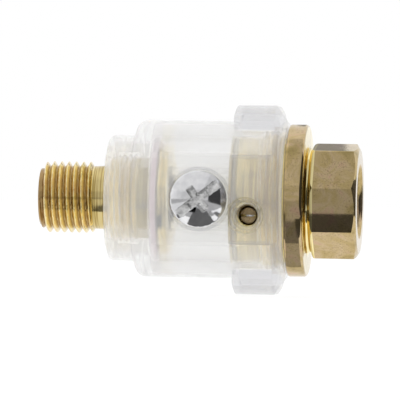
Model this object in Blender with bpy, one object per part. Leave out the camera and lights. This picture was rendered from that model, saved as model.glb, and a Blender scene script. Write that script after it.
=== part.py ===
"""In-line mini lubricator for compressed-air tools, as an assembly of separate solids.

Air enters the female port of the brass inlet body (+X end), passes the strainer and the venturi, runs
through the clear inner tube and leaves by the male outlet nipple (-X end). Oil fills the space between
the inner tube and the clear bowl, and a metering screw sets how much of it reaches the venturi.

Frame: +X along the air line towards the inlet, +Z up, the filler screw faces -Y, the origin is the
middle of the object's box, on the axis. Sizes below are in millimetres. Stations along the axis are
counted from the outlet end face, and STATION_ZERO moves them into the frame.
"""

import math

import bmesh
import bpy
from mathutils import Matrix

MM = 0.001

# Driving dimensions -------------------------------------------------------------------------------
LENGTH = 58.3
STATION_ZERO = -LENGTH / 2
ROUND_SIDES = 44
SMALL_SIDES = 24

PIPE_PITCH = 1.337          # G 1/4 pipe thread
PIPE_CREST_R = 6.5
PIPE_ROOT_R = 5.72
PIPE_TURNS = 7
FIRST_CREST = 1.3
HALF_ROOT, HALF_CREST = 0.55, 0.12
OUTLET_FACE_R = 5.2
OUTLET_BORE_R = 3.9
OUTLET_BORE_CHAMFER = 1.3

NECK_START, NECK_R = 12.6, 11.45
NECK_BORE_R = 7.65
SHANK_R = 7.35
BARREL_START, BARREL_R = 19.4, 14.3
CHAMBER_START, CHAMBER_R = 20.7, 11.7
COLLAR_START, COLLAR_END = 35.9, 45.2
LOBE_FLAT_R, FLOOR_R, RIM_R = 17.15, 14.5, 15.4
LOBE_COUNT = 4
LOBE_HALF_ANGLE, FLAT_HALF_ANGLE, FLOOR_HALF_ANGLE = 29.0, 12.4, 12.0
LOBE_R = LOBE_FLAT_R / math.cos(math.radians(FLAT_HALF_ANGLE))
MOUTH_START, MOUTH_R = 40.6, 12.4
MOUTH_CONE = 0.4
NECK_EDGE, NECK_SHOULDER, BARREL_SHOULDER = 1.0, 1.2, 1.7

BOSS_START, BOSS_R = 35.4, 11.35
BOSS_GROOVE_START, BOSS_GROOVE_END, BOSS_GROOVE_DEPTH = 35.75, 36.85, 0.9
MALE_THREAD_START, MALE_THREAD_END, MALE_THREAD_R = 41.3, 44.4, 12.05
FLANGE_START, FLANGE_END, FLANGE_R = 45.5, 48.9, 13.85
NECK_GROOVE_R = 9.3
OCTAGON_START = 49.9
OCTAGON_CORNER_R = 10.75
OCTAGON_TURN = 10.0         # degrees that a flat's normal points below -Y
PORT_R, PORT_END = 6.15, 49.0
PORT_CHAMFER = 0.75
CORE_R = 5.2
SOCKET_R = 6.1              # sockets that hold the inner tube and its seals
INLET_SOCKET_END, OUTLET_SOCKET_START = 37.8, 20.4

NIPPLE_FLANGE_START, NIPPLE_FLANGE_END = 22.3, 23.9
NIPPLE_CORNER_R = 10.1

TUBE_START, TUBE_END = 21.9, 36.3
TUBE_R, TUBE_BORE_R = 5.8, 4.6

FILLER_STATION = 30.4
FILLER_SEAT = 13.6          # distance of the spot face from the axis
FILLER_HEAD_R, FILLER_HEAD_TOP = 5.1, 17.1
FILLER_SHANK_R = 2.45
FILLER_HOLE_R = 2.8
FILLER_PAD_R, SPOT_FACE_R = 5.3, 5.7

METER_STATION, METER_DROP = 39.0, 2.84
METER_R = 1.45
METER_HOLE_R, METER_SEAT = 1.75, 7.2
JET_HOLE_R = 0.85
ACCESS_R = 2.0
FEED_DISTANCE = 8.6         # how far the oil and bleed drillings lie from the mid-plane
FEED_R, BLEED_R, BALL_HOLE_R = 0.9, 0.8, 1.3
BLEED_STATION, BLEED_CROSS_R = 47.6, 0.5
BALL_STATION, BALL_R = 37.05, 1.0

CLEAR = 1.0                 # how far a cutter passes the surface that it cuts


# Materials ----------------------------------------------------------------------------------------
def finish(name, colour, roughness, metallic=0.0, clear=0.0):
    material = bpy.data.materials.new(name)
    material.use_nodes = True
    shader = material.node_tree.nodes["Principled BSDF"]
    shader.inputs["Base Color"].default_value = (*colour, 1.0)
    shader.inputs["Roughness"].default_value = roughness
    shader.inputs["Metallic"].default_value = metallic
    shader.inputs["Transmission Weight"].default_value = clear
    return material


# Shapes -------------------------------------------------------------------------------------------
def arc(centre_x, centre_r, radius, start, end, steps):
    """Points of an arc in the (station, radius) plane, from start to end in degrees."""
    angles = [math.radians(start + (end - start) * i / steps) for i in range(steps + 1)]
    return [(centre_x + radius * math.cos(a), centre_r + radius * math.sin(a)) for a in angles]


def solid(name, points, faces, material, split_quads=False):
    """One object from points in millimetres, with its faces turned outwards."""
    mesh = bpy.data.meshes.new(name)
    mesh.from_pydata([tuple(c * MM for c in p) for p in points], [], faces)
    shape = bmesh.new()
    shape.from_mesh(mesh)
    if split_quads:
        bmesh.ops.triangulate(shape, faces=shape.faces)
    bmesh.ops.recalc_face_normals(shape, faces=shape.faces)
    shape.to_mesh(mesh)
    shape.free()
    if material is not None:
        mesh.materials.append(material)
    thing = bpy.data.objects.new(name, mesh)
    bpy.context.scene.collection.objects.link(thing)
    return thing


def round_off(thing, angle=32.0):
    thing.data.shade_smooth()
    thing.data.set_sharp_from_angle(angle=math.radians(angle))


def turned(name, outline, material, sides=ROUND_SIDES):
    """A turned piece about local X. An outline that starts and ends on the axis makes a full solid,
    any other outline closes on itself and makes a ring."""
    full = outline[0][1] == 0 and outline[-1][1] == 0
    rings = outline[1:-1] if full else outline
    points = []
    for x, r in rings:
        for k in range(sides):
            a = math.tau * k / sides
            points.append((x, -r * math.cos(a), -r * math.sin(a)))
    faces = []
    for i in range(len(rings) - 1 if full else len(rings)):
        here, there = i * sides, (i + 1) % len(rings) * sides
        for k in range(sides):
            n = (k + 1) % sides
            faces.append((here + k, here + n, there + n, there + k))
    if full:
        for x, last in ((outline[0][0], 0), (outline[-1][0], len(rings) - 1)):
            loop = [last * sides + k for k in range(sides)]
            if x == rings[last][0]:
                faces.append(tuple(loop))
                continue
            faces += [(len(points), loop[k], loop[(k + 1) % sides]) for k in range(sides)]
            points.append((x, 0.0, 0.0))
    thing = solid(name, points, faces, material)
    round_off(thing)
    return thing


def ring(name, x, r, section_r, material, sides=ROUND_SIDES):
    """An O-ring or a wire ring about local X."""
    return turned(name, arc(x, r, section_r, 0, 300, 5), material, sides)


def octagon_bar(name, start, end, corner_r, material):
    """A bar of octagonal section along X, with one flat facing OCTAGON_TURN below -Y."""
    corners = [math.radians(OCTAGON_TURN + 22.5 + 45 * k) for k in range(8)]
    points = [
        (x, -corner_r * math.cos(a), -corner_r * math.sin(a)) for x in (start, end) for a in corners
    ]
    faces = [tuple(range(8)), tuple(range(15, 7, -1))]
    faces += [(k, (k + 1) % 8, 8 + (k + 1) % 8, 8 + k) for k in range(8)]
    return solid(name, points, faces, material)


def block(name, low, high):
    """A rectangular cutter between two corners."""
    shape = bmesh.new()
    bmesh.ops.create_cube(shape, size=1.0)
    size = [h - l for l, h in zip(low, high)]
    middle = [(h + l) / 2 for l, h in zip(low, high)]
    points = [tuple(m + c * s for m, c, s in zip(middle, v.co, size)) for v in shape.verts]
    faces = [tuple(v.index for v in f.verts) for f in shape.faces]
    shape.free()
    return solid(name, points, faces, None)


def combine(target, tool, operation="DIFFERENCE"):
    """Joins a hidden helper to a piece, or cuts it away, with a Boolean modifier."""
    tool.hide_render = True
    tool.display_type = "WIRE"
    modifier = target.modifiers.new(tool.name, "BOOLEAN")
    modifier.operation = operation
    modifier.solver = "EXACT"
    modifier.object = tool


def along_axis(thing, y=0.0, z=0.0):
    """Places a piece whose local X holds stations, on the air line's axis or beside it."""
    thing.location = (STATION_ZERO * MM, y * MM, z * MM)
    return thing


def facing_front(thing, station, z=0.0):
    """Places a piece whose local X is the distance from the axis plane, pointing along -Y."""
    thing.rotation_euler = (0.0, 0.0, -math.pi / 2)
    thing.location = ((STATION_ZERO + station) * MM, 0.0, z * MM)
    return thing


# Brass parts --------------------------------------------------------------------------------------
def pipe_thread_outline():
    """Crests and roots of the male pipe thread, limited by the chamfer at its end."""
    points = []
    for turn in range(PIPE_TURNS):
        crest = FIRST_CREST + PIPE_PITCH * turn
        for side in (-1, 1):
            flank = [(side * HALF_ROOT, PIPE_ROOT_R), (side * HALF_CREST, PIPE_CREST_R)]
            points += [(crest + x, min(r, OUTLET_FACE_R + crest + x)) for x, r in flank[::-side]]
    return points


def outlet_nipple(brass):
    thread_end = FIRST_CREST + PIPE_PITCH * (PIPE_TURNS - 1) + 0.6
    outline = [(0.0, 0.0), (0.0, OUTLET_FACE_R)]
    outline += pipe_thread_outline()
    outline += [
        (thread_end, PIPE_ROOT_R),
        (NECK_START + 0.3, PIPE_ROOT_R),
        (NECK_START + 0.4, SHANK_R - 0.3),
        (NECK_START + 0.7, SHANK_R),
        (NIPPLE_FLANGE_END - 0.1, SHANK_R),
        (NIPPLE_FLANGE_END - 0.1, 0.0),
    ]
    nipple = along_axis(turned("outlet_nipple", outline, brass, 32))
    flange = octagon_bar(
        "nipple_flange_bar", NIPPLE_FLANGE_START, NIPPLE_FLANGE_END, NIPPLE_CORNER_R, None
    )
    combine(nipple, along_axis(flange), "UNION")
    bore = [
        (-CLEAR, 0.0),
        (-CLEAR, OUTLET_BORE_R + OUTLET_BORE_CHAMFER),
        (OUTLET_BORE_CHAMFER - CLEAR, OUTLET_BORE_R),
        (OUTLET_SOCKET_START, OUTLET_BORE_R),
        (OUTLET_SOCKET_START, SOCKET_R),
        (NIPPLE_FLANGE_END + CLEAR, SOCKET_R),
        (NIPPLE_FLANGE_END + CLEAR, 0.0),
    ]
    combine(nipple, along_axis(turned("nipple_bore", bore, None, 32)))
    return nipple


def inlet_body(brass):
    outline = [
        (BOSS_START, 0.0),
        (BOSS_START, BOSS_R - 0.15),
        (BOSS_START + 0.15, BOSS_R),
        (BOSS_GROOVE_START, BOSS_R),
        (BOSS_GROOVE_START, BOSS_R - BOSS_GROOVE_DEPTH),
        (BOSS_GROOVE_END, BOSS_R - BOSS_GROOVE_DEPTH),
        (BOSS_GROOVE_END, BOSS_R),
        (MALE_THREAD_START - 0.5, BOSS_R),
        (MALE_THREAD_START, MALE_THREAD_R),
        (MALE_THREAD_END, MALE_THREAD_R),
        (MALE_THREAD_END + 0.2, BOSS_R),
        (FLANGE_START, BOSS_R),
        (FLANGE_START, FLANGE_R - 0.3),
        (FLANGE_START + 0.3, FLANGE_R),
        (FLANGE_END - 0.4, FLANGE_R),
        (FLANGE_END, FLANGE_R - 0.4),
        (FLANGE_END, NECK_GROOVE_R + 0.6),
        (FLANGE_END + 0.15, NECK_GROOVE_R + 0.15),
        (FLANGE_END + 0.5, NECK_GROOVE_R),
        (OCTAGON_START + 0.8, NECK_GROOVE_R),
        (OCTAGON_START + 0.8, 0.0),
    ]
    body = along_axis(turned("inlet_body", outline, brass))
    bar = octagon_bar("wrench_bar", OCTAGON_START - 0.5, LENGTH + CLEAR, OCTAGON_CORNER_R, None)
    envelope = [
        (OCTAGON_START, 0.0),
        (OCTAGON_START, 9.6),
        (OCTAGON_START + 0.7, OCTAGON_CORNER_R + 0.2),
        (LENGTH - 1.0, OCTAGON_CORNER_R + 0.2),
        (LENGTH, 9.4),
        (LENGTH, 0.0),
    ]
    combine(bar, along_axis(turned("wrench_chamfers", envelope, None, 50)), "INTERSECT")
    combine(body, along_axis(bar), "UNION")
    bore = [
        (BOSS_START - CLEAR, 0.0),
        (BOSS_START - CLEAR, SOCKET_R),
        (INLET_SOCKET_END, SOCKET_R),
        (INLET_SOCKET_END, CORE_R),
        (PORT_END, CORE_R),
        (PORT_END, PORT_R),
        (LENGTH - PORT_CHAMFER, PORT_R),
        (LENGTH + CLEAR, PORT_R + PORT_CHAMFER + CLEAR),
        (LENGTH + CLEAR, 0.0),
    ]
    combine(body, along_axis(turned("inlet_bore", bore, None)))
    meter = [
        (1.0, 0.0),
        (1.0, JET_HOLE_R),
        (METER_SEAT, JET_HOLE_R),
        (METER_SEAT, METER_HOLE_R),
        (MALE_THREAD_R + CLEAR, METER_HOLE_R),
        (MALE_THREAD_R + CLEAR, 0.0),
    ]
    meter_hole = turned("meter_hole", meter, None, SMALL_SIDES)
    combine(body, facing_front(meter_hole, METER_STATION, -METER_DROP))
    start = BOSS_START - CLEAR
    feed = [(start, 0.0), (start, FEED_R), (38.5, FEED_R), (38.5, 0.0)]
    feed_drilling = turned("feed_drilling", feed, None, SMALL_SIDES)
    combine(body, along_axis(feed_drilling, -FEED_DISTANCE, -METER_DROP))
    bleed = [
        (start, 0.0),
        (start, BALL_HOLE_R),
        (38.6, BALL_HOLE_R),
        (38.6, BLEED_R),
        (48.2, BLEED_R),
        (48.2, 0.0),
    ]
    combine(body, along_axis(turned("bleed_drilling", bleed, None, SMALL_SIDES), FEED_DISTANCE))
    cross = [(-8.8, 0.0), (-8.8, BLEED_CROSS_R), (-4.0, BLEED_CROSS_R), (-4.0, 0.0)]
    combine(body, facing_front(turned("bleed_cross", cross, None, SMALL_SIDES), BLEED_STATION))
    return body


# Clear plastic bowl -------------------------------------------------------------------------------
def collar_angles():
    """Angles round the bowl in degrees from -Y, each with True where a lobe stands. A flat lies on the
    middle of each lobe, and the part rests on the lowest one."""
    found = []
    period = 360 / LOBE_COUNT
    side = [FLAT_HALF_ANGLE, (FLAT_HALF_ANGLE + LOBE_HALF_ANGLE) / 2, LOBE_HALF_ANGLE]
    for lobe in range(LOBE_COUNT):
        for off in [-angle for angle in reversed(side)] + side:
            found.append((period * lobe + off, True))
        for k in (-3, -1, 1, 3):
            found.append((period * (lobe + 0.5) + FLOOR_HALF_ANGLE * k / 3, False))
    return found


def bowl_stations():
    """Rings along the bowl, outside then inside: station, radius on a lobe, radius between lobes."""
    outside = arc(NECK_START + NECK_EDGE, NECK_R - NECK_EDGE, NECK_EDGE, 180, 90, 3)
    outside += arc(16.4, NECK_R + NECK_SHOULDER, NECK_SHOULDER, -90, 0, 3)
    outside += arc(BARREL_START, BARREL_R - BARREL_SHOULDER, BARREL_SHOULDER, 165, 90, 4)
    outside += [(COLLAR_START, BARREL_R)]
    plain = [(x, r, r) for x, r in outside]
    collar = [
        (COLLAR_START + 0.01, LOBE_R - 0.4, FLOOR_R),
        (COLLAR_START + 0.4, LOBE_R, FLOOR_R),
        (43.0, LOBE_R, FLOOR_R),
        (43.3, LOBE_R, RIM_R),
        (44.1, LOBE_R - 1.1, RIM_R),
        (44.25, RIM_R, RIM_R),
        (COLLAR_END, 14.0, 14.0),
    ]
    inside = [
        (COLLAR_END, MOUTH_R),
        (MOUTH_START + MOUTH_CONE, MOUTH_R),
        (MOUTH_START, CHAMBER_R),
        (CHAMBER_START, CHAMBER_R),
        (CHAMBER_START, NECK_BORE_R),
        (NECK_START + 0.3, NECK_BORE_R),
        (NECK_START, NECK_BORE_R + 0.3),
    ]
    return plain + collar + [(x, r, r) for x, r in inside]


def bowl(clear):
    angles = collar_angles()
    stations = bowl_stations()
    points = []
    for x, lobe_r, floor_r in stations:
        for degrees, on_lobe in angles:
            r = lobe_r if on_lobe else floor_r
            a = math.radians(degrees)
            points.append((x, -r * math.cos(a), -r * math.sin(a)))
    sides = len(angles)
    faces = []
    for i in range(len(stations)):
        here, there = i * sides, (i + 1) % len(stations) * sides
        for k in range(sides):
            n = (k + 1) % sides
            faces.append((here + k, here + n, there + n, there + k))
    piece = along_axis(solid("bowl", points, faces, clear, split_quads=True))
    round_off(piece)
    pad = [(12.5, 0.0), (12.5, FILLER_PAD_R), (14.0, FILLER_PAD_R), (14.0, 0.0)]
    combine(piece, facing_front(turned("filler_pad", pad, None, 30), FILLER_STATION), "UNION")
    hole = [
        (9.0, 0.0),
        (9.0, FILLER_HOLE_R),
        (FILLER_SEAT, FILLER_HOLE_R),
        (FILLER_SEAT, SPOT_FACE_R),
        (16.0, SPOT_FACE_R),
        (16.0, 0.0),
    ]
    combine(piece, facing_front(turned("filler_hole", hole, None, 34), FILLER_STATION))
    access = [(9.0, 0.0), (9.0, ACCESS_R), (15.9, ACCESS_R), (18.0, ACCESS_R + 2.1), (18.0, 0.0)]
    access_hole = turned("access_hole", access, None, SMALL_SIDES)
    combine(piece, facing_front(access_hole, METER_STATION, -METER_DROP))
    return piece


def inner_tube(clear):
    outline = [
        (TUBE_START, TUBE_BORE_R),
        (TUBE_START, TUBE_R),
        (TUBE_END, TUBE_R),
        (TUBE_END, TUBE_BORE_R),
    ]
    return along_axis(turned("inner_tube", outline, clear))


# Screws -------------------------------------------------------------------------------------------
def filler_screw(steel):
    rim = 15.3
    rise = FILLER_HEAD_TOP - rim
    dome_r = (FILLER_HEAD_R**2 + rise**2) / (2 * rise)
    half = math.degrees(math.asin(FILLER_HEAD_R / dome_r))
    outline = [
        (7.6, 0.0),
        (7.6, 2.0),
        (8.1, FILLER_SHANK_R),
        (14.8, FILLER_SHANK_R),
        (14.8, FILLER_HEAD_R - 0.2),
        (15.0, FILLER_HEAD_R),
    ]
    outline += arc(FILLER_HEAD_TOP - dome_r, 0.0, dome_r, half, 0, 5)
    outline[-1] = (FILLER_HEAD_TOP, 0.0)
    screw = turned("filler_screw", outline, steel, 36)
    slot = block("filler_slot", (16.2, -6.0, -0.55), (18.0, 6.0, 0.55))
    cross_a = block("filler_cross_a", (15.4, -2.1, -0.45), (18.5, 2.1, 0.45))
    cross_b = block("filler_cross_b", (15.45, -0.45, -2.1), (18.6, 0.45, 2.1))
    for cutter in (slot, cross_a, cross_b):
        cutter.data.transform(Matrix.Rotation(math.radians(38.0), 4, "X"))
        combine(screw, facing_front(cutter, FILLER_STATION))
    return facing_front(screw, FILLER_STATION)


def metering_screw(brass):
    outline = [
        (7.8, 0.0),
        (7.8, 0.5),
        (8.6, METER_R),
        (8.85, METER_R),
        (8.85, 0.95),
        (9.55, 0.95),
        (9.55, METER_R),
        (10.15, METER_R),
        (10.3, METER_R - 0.15),
        (10.3, 0.0),
    ]
    screw = turned("metering_screw", outline, brass, SMALL_SIDES)
    slot = block("metering_slot", (9.7, -2.0, -0.25), (11.0, 2.0, 0.25))
    combine(screw, facing_front(slot, METER_STATION, -METER_DROP))
    return facing_front(screw, METER_STATION, -METER_DROP)


# Seals and small inner pieces ---------------------------------------------------------------------
def seals(rubber, nylon, fibre):
    along_axis(ring("bowl_o_ring", 36.3, 11.05, 0.45, rubber))
    along_axis(ring("tube_o_ring_inlet", 37.05, 5.15, 0.55, rubber, 32))
    along_axis(ring("tube_o_ring_outlet", 21.15, 5.15, 0.55, rubber, 32))
    along_axis(ring("venturi_o_ring", 43.6, 4.67, 0.4, rubber, 32))
    meter_ring = ring("metering_o_ring", 9.2, 1.28, 0.26, rubber, SMALL_SIDES)
    facing_front(meter_ring, METER_STATION, -METER_DROP)
    gasket = [(21.0, 7.65), (21.0, 10.4), (22.0, 10.4), (22.0, 7.65)]
    along_axis(turned("nipple_gasket", gasket, fibre))
    washer = [(13.9, 2.75), (13.9, 4.7), (14.5, 4.7), (14.5, 2.75)]
    facing_front(turned("filler_seal", washer, nylon, 32), FILLER_STATION)


def venturi(acetal, brass):
    sleeve = [
        (38.0, 3.6),
        (38.0, 4.9),
        (43.0, 4.9),
        (43.0, 4.15),
        (44.2, 4.15),
        (44.2, 4.9),
        (46.8, 4.9),
        (46.8, 4.3),
        (40.0, 3.3),
        (38.8, 3.3),
    ]
    piece = along_axis(turned("venturi_sleeve", sleeve, acetal, 32))
    hole = [(1.0, 0.0), (1.0, JET_HOLE_R), (6.0, JET_HOLE_R), (6.0, 0.0)]
    jet_hole = turned("jet_hole", hole, None, SMALL_SIDES)
    combine(piece, facing_front(jet_hole, METER_STATION, -METER_DROP))
    jet = [(2.2, 0.25), (2.2, 0.55), (7.0, 0.55), (7.0, 0.25)]
    facing_front(turned("oil_jet", jet, brass, 16), METER_STATION, -METER_DROP)


def oil_and_air_control(felt, steel, brass):
    wick = [(35.5, 0.0), (35.5, 0.6), (37.0, 0.6), (37.0, 0.0)]
    along_axis(turned("oil_wick", wick, felt, 16), -FEED_DISTANCE, -METER_DROP)
    ball = arc(0.0, 0.0, BALL_R, 180, 0, 8)
    ball = [(ball[0][0], 0.0), *ball[1:-1], (ball[-1][0], 0.0)]
    check_ball = turned("check_ball", ball, steel, 16)
    check_ball.location = ((STATION_ZERO + BALL_STATION) * MM, FEED_DISTANCE * MM, 0.0)
    stop = [(35.45, 0.6), (35.45, 1.15), (36.0, 1.15), (36.0, 0.6)]
    along_axis(turned("ball_retainer", stop, brass, 16), FEED_DISTANCE)


def inlet_screen(bronze, steel):
    disc = [(49.3, 0.0), (49.3, 5.6), (49.5, 5.8), (50.5, 5.8), (50.9, 3.0), (51.1, 0.0)]
    along_axis(turned("inlet_strainer", disc, bronze))
    along_axis(ring("strainer_ring", 51.0, 5.6, 0.35, steel, 32))


def build():
    for thing in list(bpy.data.objects):
        bpy.data.objects.remove(thing)
    brass = finish("yellow_brass", (0.62, 0.47, 0.20), 0.25, metallic=1.0)
    plastic = finish("clear_plastic", (0.95, 0.96, 0.96), 0.08, clear=0.9)
    tube_plastic = finish("tube_plastic", (0.95, 0.95, 0.90), 0.1, clear=0.9)
    zinc = finish("bright_zinc", (0.75, 0.76, 0.78), 0.15, metallic=1.0)
    rubber = finish("seal_rubber", (0.03, 0.03, 0.03), 0.6)
    nylon = finish("seal_nylon", (0.88, 0.88, 0.85), 0.35)
    fibre = finish("gasket_fibre", (0.72, 0.62, 0.74), 0.5)
    acetal = finish("white_acetal", (0.85, 0.85, 0.83), 0.4)
    felt = finish("felt", (0.70, 0.68, 0.62), 0.95)
    steel = finish("bright_steel", (0.60, 0.60, 0.62), 0.2, metallic=1.0)
    bronze = finish("sintered_bronze", (0.50, 0.36, 0.18), 0.6, metallic=1.0)
    outlet_nipple(brass)
    inlet_body(brass)
    bowl(plastic)
    inner_tube(tube_plastic)
    filler_screw(zinc)
    metering_screw(brass)
    seals(rubber, nylon, fibre)
    venturi(acetal, brass)
    oil_and_air_control(felt, steel, brass)
    inlet_screen(bronze, steel)


build()
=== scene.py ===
"""Looks for the in-line mini lubricator: detailed pieces and procedural materials around the CAD frame.

Shapes are in millimetres until a mesh is made. Stations along the air line are counted from the outlet end
face, as the parts are: a station s lies at x = s + STATION_ZERO. Materials, the camera and the light are in
metres.
"""

import math

import bmesh
import bpy
from mathutils import Matrix, Vector


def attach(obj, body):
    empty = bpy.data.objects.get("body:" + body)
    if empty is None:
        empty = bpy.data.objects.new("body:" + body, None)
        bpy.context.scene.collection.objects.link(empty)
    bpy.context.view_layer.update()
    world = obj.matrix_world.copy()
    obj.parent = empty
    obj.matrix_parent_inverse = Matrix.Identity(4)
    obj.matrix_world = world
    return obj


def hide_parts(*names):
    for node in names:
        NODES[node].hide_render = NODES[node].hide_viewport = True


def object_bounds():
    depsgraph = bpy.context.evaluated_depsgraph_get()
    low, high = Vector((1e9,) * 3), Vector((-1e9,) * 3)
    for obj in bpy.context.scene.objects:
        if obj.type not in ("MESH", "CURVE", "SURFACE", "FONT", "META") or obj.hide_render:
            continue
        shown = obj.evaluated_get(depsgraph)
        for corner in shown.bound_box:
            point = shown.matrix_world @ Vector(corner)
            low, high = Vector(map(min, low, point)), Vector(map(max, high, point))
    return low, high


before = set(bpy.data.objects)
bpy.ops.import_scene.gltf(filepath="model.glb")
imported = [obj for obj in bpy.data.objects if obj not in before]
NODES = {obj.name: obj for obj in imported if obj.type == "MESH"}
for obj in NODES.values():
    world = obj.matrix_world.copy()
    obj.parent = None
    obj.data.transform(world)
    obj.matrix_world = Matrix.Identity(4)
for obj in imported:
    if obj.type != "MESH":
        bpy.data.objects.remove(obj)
CAD_LOW, CAD_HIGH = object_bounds()

MM = 0.001
STATION_ZERO = round(CAD_LOW.x / MM, 3)
LENGTH = round((CAD_HIGH.x - CAD_LOW.x) / MM, 3)

PIPE_PITCH, BOWL_PITCH, FILLER_PITCH = 1.337, 1.0, 0.8
FILLER_STATION, FILLER_SEAT = 30.4, 13.6
METER_STATION, METER_DROP = 39.0, 2.84
OCTAGON_TURN = 10.0
SOCKET_R = 6.1

NECK_R, NECK_BORE_R = 11.45, 7.65
BARREL_R, CHAMBER_R, MOUTH_R = 14.3, 11.7, 12.4
LOBE_R, FLOOR_R, RIM_R = round(CAD_HIGH.z / MM, 3), 14.5, 15.4
LOBE_HALF, LOBE_FLAT_HALF = 29.0, 12.4
NECK_THREAD, MOUTH_THREAD = (13.0, 18.6), (41.0, 44.9)


# Node helpers -------------------------------------------------------------------------------------
class Nodes:
    """Short calls for building one material's node tree."""

    def __init__(self, name):
        self.material = bpy.data.materials.new(name)
        self.material.use_nodes = True
        self.tree = self.material.node_tree
        self.shader = self.tree.nodes["Principled BSDF"]
        self.coords = self.tree.nodes.new("ShaderNodeTexCoord").outputs["Object"]

    def add(self, kind, links=(), **values):
        node = self.tree.nodes.new(kind)
        for key, value in values.items():
            setattr(node, key, value)
        for socket, source in dict(links).items():
            if isinstance(source, bpy.types.NodeSocket):
                self.tree.links.new(source, node.inputs[socket])
            else:
                node.inputs[socket].default_value = source
        return node

    def link(self, source, socket):
        self.tree.links.new(source, self.shader.inputs[socket])

    def scaled(self, scale):
        return self.add("ShaderNodeMapping", {"Vector": self.coords, "Scale": scale}).outputs["Vector"]

    def noise(self, scale, detail, rough=0.55, vector=None, distortion=0.0):
        links = {"Scale": scale, "Detail": detail, "Roughness": rough, "Distortion": distortion}
        links["Vector"] = self.coords if vector is None else vector
        return self.add("ShaderNodeTexNoise", links).outputs["Fac"]

    def ramp(self, source, stops):
        node = self.add("ShaderNodeValToRGB", {"Fac": source})
        elements = node.color_ramp.elements
        while len(elements) < len(stops):
            elements.new(0.5)
        for element, (place, colour) in zip(elements, stops):
            element.position = place
            colour = (colour,) * 3 if isinstance(colour, (int, float)) else colour
            element.color = (*colour, 1.0)
        return node.outputs["Color"]

    def mix(self, factor, a, b):
        node = self.tree.nodes.new("ShaderNodeMix")
        node.data_type = "RGBA"
        sockets = {0: factor, 6: a, 7: b}
        for index, source in sockets.items():
            if isinstance(source, bpy.types.NodeSocket):
                self.tree.links.new(source, node.inputs[index])
            elif index == 0:
                node.inputs[index].default_value = source
            else:
                node.inputs[index].default_value = (*source, 1.0)
        return node.outputs[2]

    def math(self, operation, a, b):
        return self.add("ShaderNodeMath", {0: a, 1: b}, operation=operation).outputs[0]

    def between(self, value, low, high):
        """1 where value lies between low and high, 0 elsewhere."""
        above, below = self.math("GREATER_THAN", value, low), self.math("LESS_THAN", value, high)
        return self.math("MULTIPLY", above, below)

    def off_axis(self):
        """The distance from the air line, which is the X axis."""
        node = self.add("ShaderNodeVectorMath", {0: self.scaled((0.0, 1.0, 1.0))}, operation="LENGTH")
        return node.outputs["Value"]

    def bump(self, height, strength, distance, normal=None):
        links = {"Height": height, "Strength": strength, "Distance": distance}
        if normal is not None:
            links["Normal"] = normal
        return self.add("ShaderNodeBump", links).outputs["Normal"]


DIRT_TONE = (0.20, 0.13, 0.06)
STREAK_SHADE = (0.62, 0.56, 0.38)
COPPER_SHARE = 0.30
ROOT_SHADE_SHARE = 0.80


def brass(name, tones, rough, speckle, turning=0.25, tone_and_light_bands=(), root_shade=None):
    """Yellow-passivated brass: clouded straw, olive and copper tints over fine turning lines. Other tones
    lie in the bands that tone_and_light_bands lists as (start x, end x, tone) or (start x, end x, tone, low
    z, high z); most of them are painted light. root_shade paints shade into a thread's roots: (end x,
    radius of the roots, radius of the crests, tone)."""
    n = Nodes(name)
    n.shader.inputs["Metallic"].default_value = 1.0
    cloud = n.noise(190.0, detail=3.0, rough=0.6, distortion=1.2)
    patch = n.noise(480.0, detail=2.0, rough=0.5)
    colour = n.ramp(cloud, [(0.30, tones[0]), (0.45, tones[1]), (0.58, tones[2]), (0.72, tones[3])])
    copper = n.ramp(patch, [(0.60, 0.0), (0.74, 1.0)])
    colour = n.mix(n.math("MULTIPLY", copper, COPPER_SHARE), colour, tones[3])
    grain = n.noise(5200.0, detail=2.0, rough=0.7)
    pits = n.ramp(grain, [(0.34, 0.0), (0.46, 1.0)])
    where = n.ramp(n.noise(260.0, detail=2.0, rough=0.5), [(0.42, 0.35), (0.58, 1.0)])
    dirt = n.math("MULTIPLY", n.math("MULTIPLY", n.math("SUBTRACT", 1.0, pits), where), speckle)
    colour = n.mix(dirt, colour, DIRT_TONE)
    split = n.add("ShaderNodeSeparateXYZ", {0: n.coords})
    streaks = n.noise(1.0, detail=2.0, rough=0.6, vector=n.scaled((2600.0, 60.0, 60.0)))
    # Each band's tone replaces the clouded colour; most bands are painted light, as painted brightness and
    # painted shade
    for start, end, tone, *heights in tone_and_light_bands:
        band = n.between(split.outputs["X"], start, end)
        if heights:
            band = n.math("MULTIPLY", band, n.between(split.outputs["Z"], *heights))
        shade = tuple(c * k for c, k in zip(tone, STREAK_SHADE))
        colour = n.mix(band, colour, n.ramp(streaks, [(0.42, shade), (0.56, tone)]))
    # Painted shade: the colour darkens towards a thread's roots, by distance from the axis
    if root_shade is not None:
        end, root_r, crest_r, tone = root_shade
        limits = {"From Min": root_r, "From Max": crest_r, "To Min": ROOT_SHADE_SHARE, "To Max": 0.0}
        root_shade_mask = n.add("ShaderNodeMapRange", {"Value": n.off_axis(), **limits}).outputs["Result"]
        root_shade_mask = n.math("MULTIPLY", root_shade_mask, n.math("LESS_THAN", split.outputs["X"], end))
        colour = n.mix(root_shade_mask, colour, tone)
    n.link(colour, "Base Color")
    n.link(n.ramp(n.noise(900.0, detail=3.0), [(0.3, rough[0]), (0.7, rough[1])]), "Roughness")
    lines = n.noise(1.0, detail=2.0, rough=0.6, vector=n.scaled((9000.0, 120.0, 120.0)))
    normal = n.bump(lines, strength=turning, distance=0.00002)
    n.link(n.bump(grain, strength=0.10, distance=0.00003, normal=normal), "Normal")
    return n.material


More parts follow.
